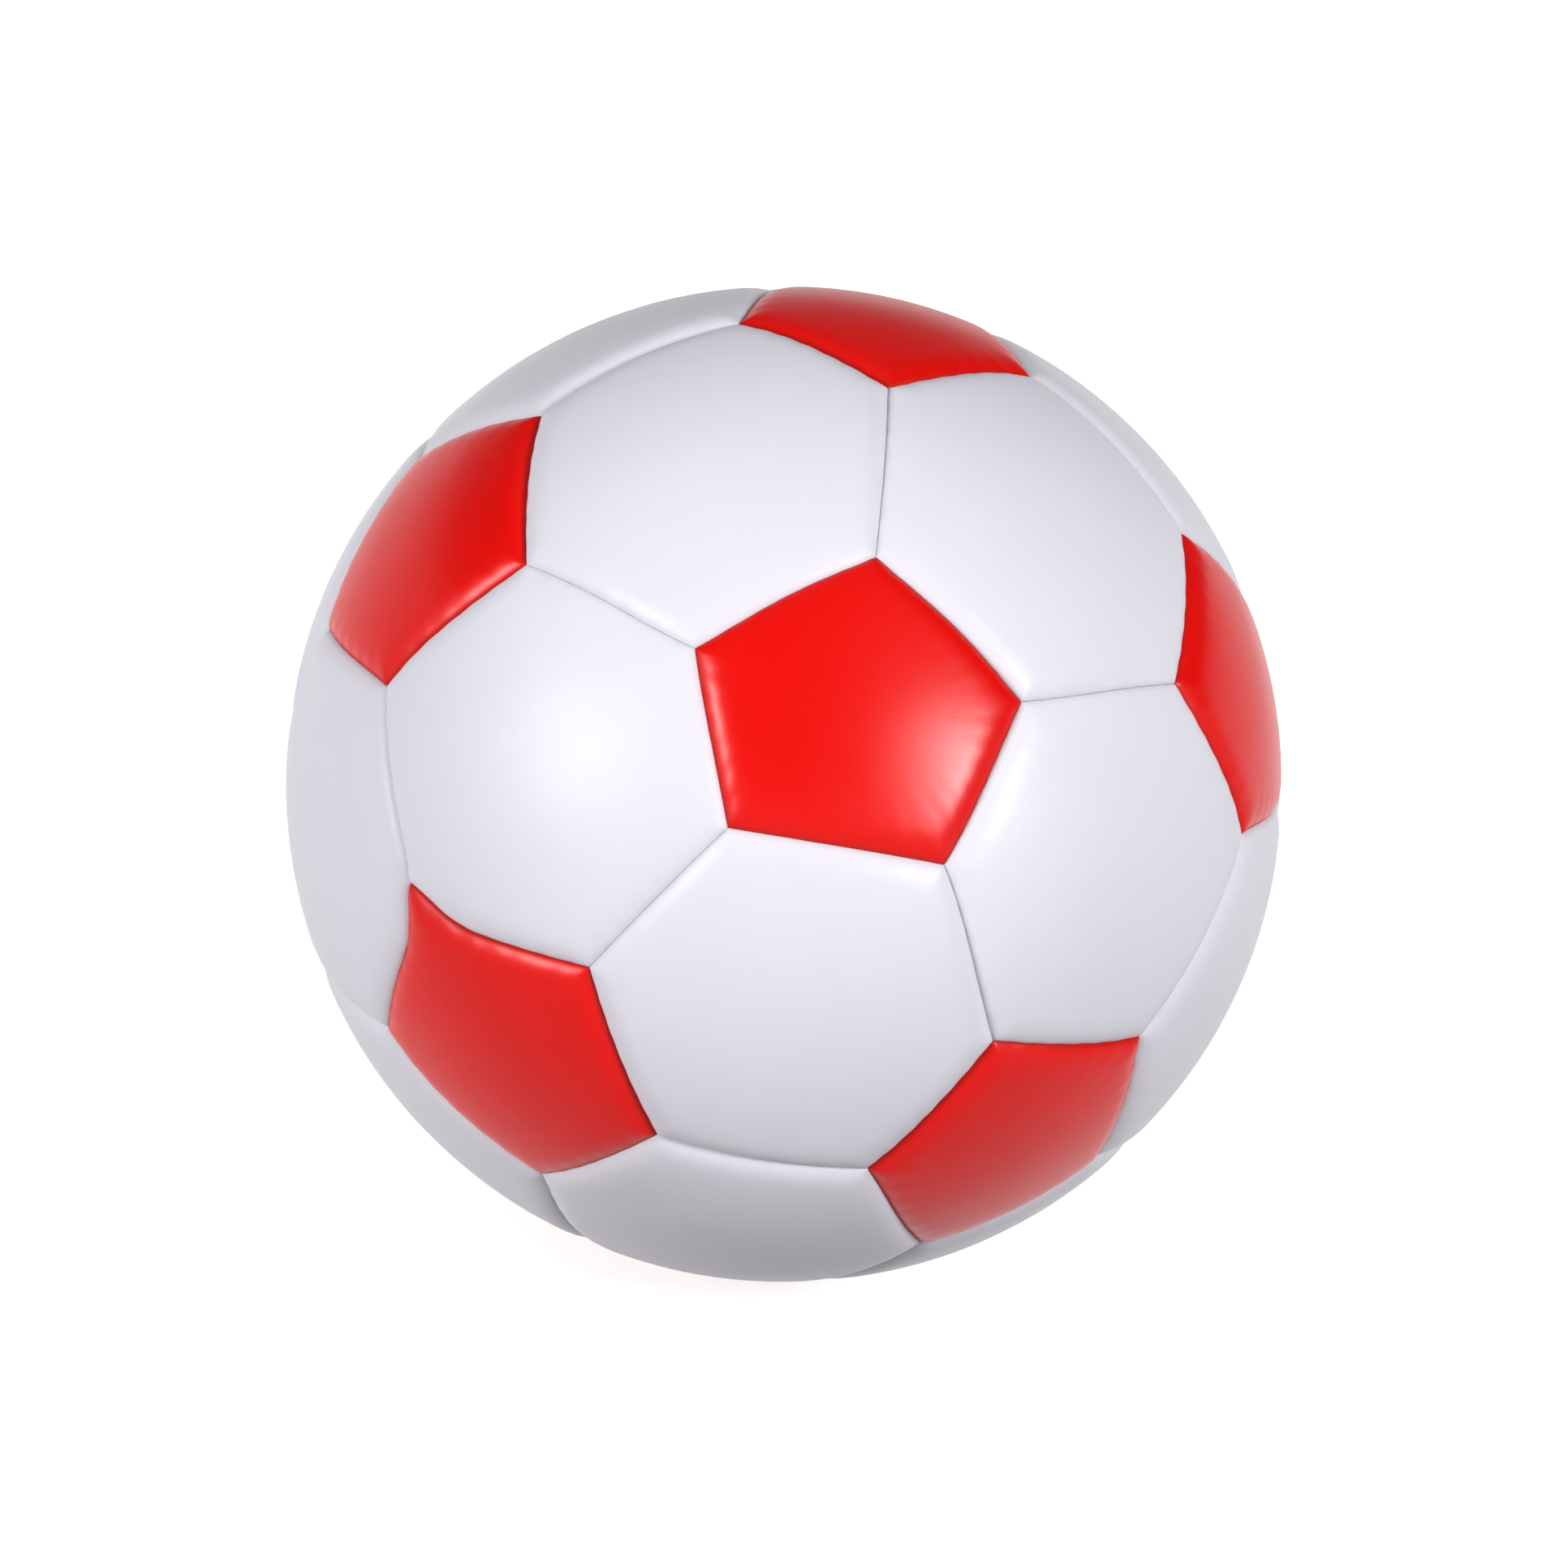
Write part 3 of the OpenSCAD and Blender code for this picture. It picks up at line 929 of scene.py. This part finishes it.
# %% Steps of the corners
CORNER_STEPS = [
    ("upper_pentagon_1", 0, -0.7, -2.5),
    ("upper_pentagon_1", 1, -0.4, -3.0),
    ("upper_pentagon_1", 3, 1.9, 0.3),
    ("upper_pentagon_1", 4, -0.5, -1.6),
    ("top_pentagon", 1, -1.5, 1.8),
    ("top_pentagon", 4, 2.5, 0.7),
    ("upper_pentagon_5", 3, -0.6, 1.6),
    ("upper_pentagon_2", 2, 1.3, 2.4),
    ("lower_pentagon_1", 2, -0.7, -1.2),
    ("lower_pentagon_1", 4, 1.9, 0.4),
    ("lower_pentagon_5", 0, 2.2, -0.4),
    ("lower_pentagon_5", 3, 0.2, -1.2),
]
POINT_STEP = ("lower_pentagon_5", 3, -1.9, 3.6)


def corner_direction(name, corner):
    panel = next(p for p in PANELS if p.name == name)
    turn = Matrix.Rotation(2 * pi / panel.sides * corner, 3, "Z")
    lean = Matrix.Rotation(CORNER_ANGLE[panel.sides], 3, "Y")
    return panel_turn(panel) @ turn @ lean @ Vector((0, 0, 1))


def step_along_ball(corner, right, up):
    """A step along the ball that looks to the camera like this one."""
    step = (view_right * right + view_up * up) * MM
    return step - view_back * (step.dot(corner) / view_back.dot(corner))


print(len(CORNER_STEPS), "steps of the cover's corners and one thin point")

# %% Slide of the cover
WAVE_SIZE = 0.4 * MM
WAVE_COUNT = 6.0
WAVE_STARTS = np.array((0.0, 1.0, 2.0))
CORNER_REACH = 12.7 * MM
POINT_REACH = 3.6 * MM
VALVE_TRUE_R = 15 * MM
VALVE_EASE_W = 12 * MM


def away_from(place, outward):
    """How far each direction is from a place on the ball."""
    return np.linalg.norm(outward - place, axis=1, keepdims=True) * SEAM_R


def settle(piece):
    """Slides every point of a cover piece to where it lies on the sewn ball."""
    spots = np.empty(3 * len(piece.data.vertices))
    piece.data.vertices.foreach_get("co", spots)
    spots = spots.reshape(-1, 3)
    radius = np.linalg.norm(spots, axis=1, keepdims=True)
    outward = spots / radius
    step = WAVE_SIZE * np.sin(WAVE_COUNT * outward[:, [1, 2, 0]] + WAVE_STARTS)
    reaches = [CORNER_REACH] * len(CORNER_STEPS) + [POINT_REACH]
    for (name, corner, right, up), reach in zip(CORNER_STEPS + [POINT_STEP], reaches):
        place = corner_direction(name, corner)
        closeness = np.exp(-0.5 * (away_from(place, outward) / reach) ** 2)
        step += closeness * np.array(step_along_ball(place, right, up))
    from_valve = away_from(panel_axis(VALVE_PANEL), outward)
    slid = outward * SEAM_R + step * np.clip((from_valve - VALVE_TRUE_R) / VALVE_EASE_W, 0, 1)
    slid *= radius / np.linalg.norm(slid, axis=1, keepdims=True)
    piece.data.vertices.foreach_set("co", slid.ravel())
    piece.data.update()


def grow_cover(name, points, tree, values, node):
    """A piece of the cover, grown, slid to its place and handed over."""
    piece = grow(name, points, tree, values)
    settle(piece)
    hand_over(piece, "ball", node)
    return piece


# %% [markdown]
# ## The cover panels
# Each panel is a piece of its own. The skin gets the finest grid, because everything that shows is
# on it. A dome through the sunken edges would bulge like a cushion, but the air fills a panel out
# nearly to the ball's own curve, and only the shoulder goes down to the seam. So the skin keeps a
# fifth of that dome's shift, as `FILLED_OUT` says. The hole in the valve's panel has a soft lip.

# %% Skin sizes
SEAM_HALF_GAP = 0.02 * MM
FILLED_OUT = 0.2
VALVE_HOLE_R = 4.1 * MM
STITCH_COUNT = 6
STITCH_STOP = 3.3 * MM
STITCH_R = (LINING_IN_R + SEAM_R - SKIN_T) / 2
seam_half_length = SEAM_HALF_ANGLE * STITCH_R
stitch_pitch = 2 * (seam_half_length - STITCH_STOP) / (STITCH_COUNT - 1)


def skin_values(n):
    return {
        "Sides": n, "Columns": 48,
        "Corner angle": CORNER_ANGLE[n], "Edge angle": EDGE_ANGLE[n], "Edge inset": SEAM_HALF_GAP,
        "Outer crown": BALL_R, "Outer shift": FILLED_OUT * dome_shift(n),
        "Inner crown": BALL_R - SKIN_T, "Inner shift": dome_shift(n),
        "Shoulder width": 4.6 * MM, "Shoulder depth": 1.1 * MM,
        "Roll width": 0.5 * MM, "Roll depth": 0.15 * MM,
        "Hem thickness": HEM_T, "Hem radius": LINING_IN_R,
        "Hole radius": VALVE_HOLE_R, "Lip depth": 0.35 * MM,
        "Stitches": 2 * seam_half_length / stitch_pitch, "Pucker": 0.1 * MM,
        "Unevenness": 0.12 * MM, "Material": red_leather if n == 5 else white_leather,
    }


print("Stitches are", round(stitch_pitch / MM, 1), "mm apart")

# %% Skins
def placed_points(panels):
    turns = [panel_turn(panel) for panel in panels]
    return points_mesh(turns, [float(panel == VALVE_PANEL) for panel in panels])


skins = []
for panel in PANELS:
    n = panel.sides
    points = placed_points([panel])
    skin = grow_cover(panel.name + "_skin", points, layer_tree, skin_values(n), panel.name)
    skins.append(skin)
face_counts = sorted({len(skin.data.polygons) for skin in skins})
print(len(skins), "skins with these numbers of faces:", face_counts)

# %% [markdown]
# ## Foam pads and cloth linings
# Behind every skin lie a pad and a lining, cut a little smaller so that they clear the hems and the
# thread. They come from the same tree with a coarser grid. Pads of one kind are one piece, because
# they are alike and never move against each other.

# %% Pads and linings
KIND = {5: "pentagon", 6: "hexagon"}
FOAM_ROUND = 0.25 * MM
CLOTH_ROUND = 0.1 * MM
THREAD_D = 0.7 * MM
THREAD_FLAT = 0.2 * THREAD_D
SEAM_ROOM = 0.1 * MM
RUN_OFFSET = SEAM_ROOM + HEM_T + LAYER_GAP + THREAD_FLAT
PAD_INSET = RUN_OFFSET + THREAD_D / 2 + 2 * LAYER_GAP
PATCH_R = 12 * MM
PATCH_ROOM = 0.2 * MM
SKIN_IN_R = BALL_R - SKIN_T - LAYER_GAP


def layer_values(n, outer, outer_shift, inner, edge_round, finish):
    return {
        "Sides": n, "Columns": 16,
        "Corner angle": CORNER_ANGLE[n], "Edge angle": EDGE_ANGLE[n], "Edge inset": PAD_INSET,
        "Outer crown": outer, "Outer shift": outer_shift, "Inner crown": inner, "Inner shift": 0.0,
        "Shoulder width": 3 * MM, "Shoulder depth": edge_round,
        "Roll width": edge_round, "Roll depth": edge_round,
        "Hem thickness": 0.0, "Hem radius": inner,
        "Hole radius": PATCH_R + PATCH_ROOM, "Lip depth": edge_round,
        "Stitches": 1.0, "Pucker": 0.0, "Unevenness": 0.0, "Material": finish,
    }


for n, kind in KIND.items():
    panels = [panel for panel in PANELS if panel.sides == n]
    foam_in = LINING_OUT_R + LAYER_GAP
    values = layer_values(n, SKIN_IN_R, dome_shift(n), foam_in, FOAM_ROUND, foam_finish)
    node = f"{kind}_foam_pads"
    points = placed_points(panels)
    pads = grow_cover(f"{kind}_foam", points, layer_tree, values, node)
    values = layer_values(n, LINING_OUT_R, 0.0, LINING_IN_R, CLOTH_ROUND, cloth_finish)
    node = f"{kind}_cloth_linings"
    points = placed_points(panels)
    linings = grow_cover(f"{kind}_lining", points, layer_tree, values, node)
    print(kind, "pads and linings:", len(pads.data.polygons), len(linings.data.polygons), "faces")

# %% [markdown]
# ## Stitching
# A seam is sewn inside out with a lock stitch: a run of thread lies on each of the two hems, and at
# every needle hole the runs are drawn together through both. A curve with a round section could
# make a run, but here the run is pressed flat where it lies on the hem, so a grid is bent into a
# tube: one direction goes along the thread, the other round it. The tree makes the thread of one
# seam and repeats it on every seam of a kind.

# %% Thread of one seam
RUN_ROWS = 24
THREAD_SIDES = 6
END_POWER = 30


def thread_run(tree, size, step):
    """The run on the hem at +X, as a tube with tapered ends."""
    strip = grid(tree, 2.0, RUN_ROWS + 1, THREAD_SIDES + 1)
    along, around, _ = components(position(tree))
    angle = along * size["Run angle"]
    turn = around * (2 * pi)
    thick = size["Thread"] * 0.5 * (1 - along.math("ABSOLUTE") ** END_POWER).math("SQRT")
    slack = size["Bulge"] * (1 - wave((angle + size["First stitch"]) / step))
    pressed = (thick * turn.math("COSINE")).math("MAXIMUM", 0 - size["Flat"])
    across = pressed + size["Run offset"] + slack
    out = size["Run radius"] + thick * turn.math("SINE")
    mesh = stored(strip, "thread_along", angle * size["Run radius"])
    mesh = stored(mesh, "thread_round", around)
    spot = vector_of(tree, across, out * angle.math("SINE"), out * angle.math("COSINE"))
    return bent(mesh, spot)


def thread_crossings(tree, size, step):
    """The short lengths that cross the seam, one at every needle hole."""
    bar = result(tree, "GeometryNodeMeshCylinder", {
        "Vertices": THREAD_SIDES, "Radius": size["Through"] * 0.5, "Depth": size["Run offset"] * 2,
    })
    x, y, along = components(position(tree))
    mesh = stored(bar, "thread_along", along)
    mesh = stored(mesh, "thread_round", y.math("ARCTAN2", x) / (2 * pi))
    lying = result(tree, "GeometryNodeTransform", {
        "Geometry": mesh, "Translation": vector_of(tree, 0.0, 0.0, size["Run radius"]),
        "Rotation": (0.0, pi / 2, 0.0),
    })
    holes = result(tree, "GeometryNodePoints", {"Count": size["Stitches"]})
    index = result(tree, "GeometryNodeInputIndex")
    tilt = turned(vector_of(tree, size["First stitch"] - index * step, 0.0, 0.0))
    return on_points(holes, {"Instance": lying, "Rotation": tilt})


# %% Seam thread tree
THREAD_SIZES = (
    "Thread", "Through", "Flat", "Bulge", "Run offset", "Run angle", "Run radius", "First stitch",
)
THREAD_INPUTS = {
    "Geometry": "Geometry", "Stitches": "Int", "Material": "Material",
    **dict.fromkeys(THREAD_SIZES, "Float"),
}


def build_thread_tree():
    tree, size = new_tree("seam_thread", THREAD_INPUTS)
    step = size["First stitch"] * 2 / (size["Stitches"] - 1)
    run = thread_run(tree, size, step)
    half_turn = {"Geometry": run, "Rotation": (0.0, 0.0, pi)}
    opposite = result(tree, "GeometryNodeTransform", half_turn)
    seam = joined([run, opposite, thread_crossings(tree, size, step)])
    rotation = turned(point_value(tree, "turn", "FLOAT_VECTOR"))
    placed = on_points(size["Geometry"], {"Instance": seam, "Rotation": rotation})
    end_tree(realized(placed), size["Material"])
    return tree


thread_tree = build_thread_tree()
print("Thread tree:", len(thread_tree.nodes), "nodes")

# %% [markdown]
# Every pentagon owns its five seams. A seam between two hexagons belongs to one of them, so that no
# seam is sewn twice.

# %% Threads
RUN_STOP = 2.6 * MM
run_angle = SEAM_HALF_ANGLE - RUN_STOP / STITCH_R
thread_values = {
    "Thread": THREAD_D, "Through": 0.85 * THREAD_D, "Flat": THREAD_FLAT, "Bulge": 0.04 * MM,
    "Run offset": RUN_OFFSET, "Run angle": run_angle, "Run radius": STITCH_R,
    "Stitches": STITCH_COUNT, "First stitch": run_angle - THREAD_D / STITCH_R,
    "Material": thread_finish,
}


def seam_turns(panel):
    """For each seam that a panel owns: +Z goes to its middle, +X across it and +Y along it."""
    if panel.sides == 5:
        edges = [FIFTH * (k + 0.5) for k in range(5)]
    else:
        edges = [azimuth - panel.corner for azimuth in panel.own_seams]
    lean = Matrix.Rotation(EDGE_ANGLE[panel.sides], 3, "Y")
    return [panel_turn(panel) @ Matrix.Rotation(edge, 3, "Z") @ lean for edge in edges]


for n, kind in KIND.items():
    turns = [turn for panel in PANELS if panel.sides == n for turn in seam_turns(panel)]
    name = f"{kind}_seam_thread"
    node = f"{kind}_seam_stitching"
    points = points_mesh(turns)
    thread = grow_cover(name, points, thread_tree, thread_values, node)
    print(kind, "seams:", len(turns), "with", len(thread.data.polygons), "faces")

# %% [markdown]
# ## Bladder and valve
# The bladder and the valve are moulded rubber, round about the valve's axis, so each is an outline
# turned as on a lathe. A mould leaves no sharp corners, so the valve's outlines are softened first.
# Their places along the axis are measured from the ball's centre.

# %% Lathe helpers
VALVE_TURN = panel_turn(VALVE_PANEL) @ Matrix.Rotation(-VALVE_PANEL.corner, 3, "Z")
LATHE_STEPS = 64
MOULD_ROUND = 0.25 * MM
LARGEST_SHARE = 0.4


def arc(radius, start, end, steps, centre=0.0):
    """Points on a circle whose centre is on the axis. The angles are from the axis."""
    angles = [start + (end - start) * k / steps for k in range(steps + 1)]
    return [(radius * sin(a), centre + radius * cos(a)) for a in angles]


def arc_between(radius, first, last, steps, centre=0.0):
    """The same, from one distance off the axis to another."""
    return arc(radius, asin(first / radius), asin(last / radius), steps, centre)


def soften(outline, amount, closed):
    """The outline with its corners rounded. An open one keeps its ends."""
    points = [Vector(point) for point in outline]
    soft = []
    for k, corner in enumerate(points):
        before = points[k - 1]
        after = points[(k + 1) % len(points)]
        start = corner.lerp(before, min(LARGEST_SHARE, amount / (before - corner).length))
        end = corner.lerp(after, min(LARGEST_SHARE, amount / (after - corner).length))
        at_end = not closed and k in (0, len(points) - 1)
        soft += [corner] if at_end else [start, (start + 2 * corner + end) / 4, end]
    return [tuple(point) for point in soft]


def turned_piece(name, outline, finish, closed):
    """An outline turned round the valve's axis, still upright at the ball's centre."""
    piece = add_object(name, spin_outline(outline, LATHE_STEPS, closed))
    piece.data.name = name
    piece.data.materials.append(finish)
    return piece


def seat(piece, body, node):
    """Leans a finished piece to the valve's axis and hands it over."""
    piece.data.transform(VALVE_TURN.to_4x4())
    hand_over(piece, body, node)
    print(piece.name, len(piece.data.polygons), "faces")


print("Valve axis:", [round(x, 3) for x in panel_axis(VALVE_PANEL)])

# %% [markdown]
# The bladder is a thin hollow ball. Where the two halves of its mould met, a faint ridge is left.

# %% Bladder
BLADDER_T = 0.9 * MM
RIDGE_H = 0.06 * MM
RIDGE_W = 0.8 * MM

bladder_in = BLADDER_R - BLADDER_T
equator = pi / 2
ridge = RIDGE_W / BLADDER_R
hole_out = asin(VALVE_HOLE_R / BLADDER_R)
hole_in = asin(VALVE_HOLE_R / bladder_in)
air_bladder = turned_piece("air_bladder", [
    *arc(BLADDER_R, pi, equator + ridge, steps=24),
    *arc(BLADDER_R + RIDGE_H, equator + ridge / 3, equator - ridge / 3, steps=2),
    *arc(BLADDER_R, equator - ridge, hole_out, steps=24),
    *arc(bladder_in, hole_in, pi, steps=36),
], bladder_finish, closed=False)
seat(air_bladder, "ball", "bladder")

# %% [markdown]
# The housing is bonded to the bladder by its flange. Its neck fills the panel's hole, and its tube
# reaches into the bladder. The core is a plug that is pushed into the housing: the needle goes down
# its hole and parts a slit at the end, which closes again behind it. The slit is cut by a thin box.

# %% Valve housing
VALVE_SINK = 0.5 * MM
CORE_GAP = 0.05 * MM
NECK_R = 4.0 * MM
TUBE_LEN = 11 * MM
FLANGE_R = 10 * MM
FLANGE_TOP_R = 8 * MM
FLANGE_T = 1.2 * MM
FLANGE_EDGE_T = FLANGE_T / 3
CORE_R = 2.5 * MM
HEAD_R = 3.2 * MM
HEAD_T = 1.2 * MM
bore_r = CORE_R + CORE_GAP
seat_r = HEAD_R + CORE_GAP
rim_z = BALL_R - VALVE_SINK
core_top_z = rim_z - CORE_GAP
seat_z = core_top_z - HEAD_T
tube_end_z = BLADDER_R - TUBE_LEN
flange_in = BLADDER_R + LAYER_GAP
flange_out = flange_in + FLANGE_T

housing_outline = soften([
    (bore_r, tube_end_z),
    (NECK_R, tube_end_z),
    *arc_between(flange_in, NECK_R, FLANGE_R, steps=5),
    (FLANGE_R, sqrt(flange_in ** 2 - FLANGE_R ** 2) + FLANGE_EDGE_T),
    *arc_between(flange_out, FLANGE_TOP_R, NECK_R, steps=4),
    (NECK_R, rim_z),
    (seat_r, rim_z),
    (seat_r, seat_z - CORE_GAP),
    (bore_r, seat_z - CORE_GAP),
], MOULD_ROUND, closed=True)
valve_body = turned_piece("valve_body", housing_outline, housing_finish, closed=True)
seat(valve_body, "ball", "valve_housing")

# %% Valve core
CORE_RECESS = 0.5 * MM
NEEDLE_R = 1.1 * MM
NEEDLE_LEN = 9 * MM
LEAD_IN = 0.6 * MM
core_end_z = tube_end_z + CORE_RECESS
needle_end_z = core_top_z - LEAD_IN - NEEDLE_LEN

core_outline = soften([
    (0, core_end_z),
    (CORE_R, core_end_z),
    (CORE_R, seat_z),
    (HEAD_R, seat_z),
    (HEAD_R, core_top_z),
    (NEEDLE_R + LEAD_IN, core_top_z),
    (NEEDLE_R, core_top_z - LEAD_IN),
    (NEEDLE_R, needle_end_z),
    (0, needle_end_z),
], MOULD_ROUND, closed=False)
valve_plug = turned_piece("valve_plug", core_outline, core_finish, closed=False)
print("Core:", round((core_top_z - core_end_z) / MM, 2), "mm long")

# %% Slit of the core
SLIT_W = 1.6 * MM
SLIT_T = 0.15 * MM


def cut_slit(piece):
    """Takes a thin upright box out of the piece, from below its end to above the hole's end."""
    made = bmesh.new()
    bmesh.ops.create_cube(made, size=1)
    mesh = bpy.data.meshes.new("slit")
    made.to_mesh(mesh)
    made.free()
    low = core_end_z - MM
    high = needle_end_z + MM
    size = Matrix.Diagonal((SLIT_W, SLIT_T, high - low, 1))
    mesh.transform(Matrix.Translation((0, 0, (low + high) / 2)) @ size)
    blade = add_object("slit", mesh)
    cut = piece.modifiers.new("slit", "BOOLEAN")
    cut.operation = "DIFFERENCE"
    cut.solver = "EXACT"
    cut.object = blade
    apply_modifiers(piece)
    bpy.data.objects.remove(blade)


cut_slit(valve_plug)
seat(valve_plug, "valve_core", "valve_core")

# %% [markdown]
# A ring of cloth backs the panel round the valve's hole, so that the hole does not stretch.

# %% Valve patch
patch_centre = dome_shift(6)
patch_top = SKIN_IN_R - patch_centre
patch_low = patch_top - CLOTH_T
patch_outline = soften([
    *arc_between(patch_low, VALVE_HOLE_R, PATCH_R, steps=6, centre=patch_centre),
    *arc_between(patch_top, PATCH_R, VALVE_HOLE_R, steps=6, centre=patch_centre),
], CLOTH_ROUND, closed=True)
valve_backing = turned_piece("valve_backing", patch_outline, cloth_finish, closed=True)
flat_place = valve_backing.data.attributes.new("flat_place", "FLOAT_VECTOR", "POINT")
for vertex in valve_backing.data.vertices:
    flat_place.data[vertex.index].vector = vertex.co
seat(valve_backing, "ball", "valve_patch")
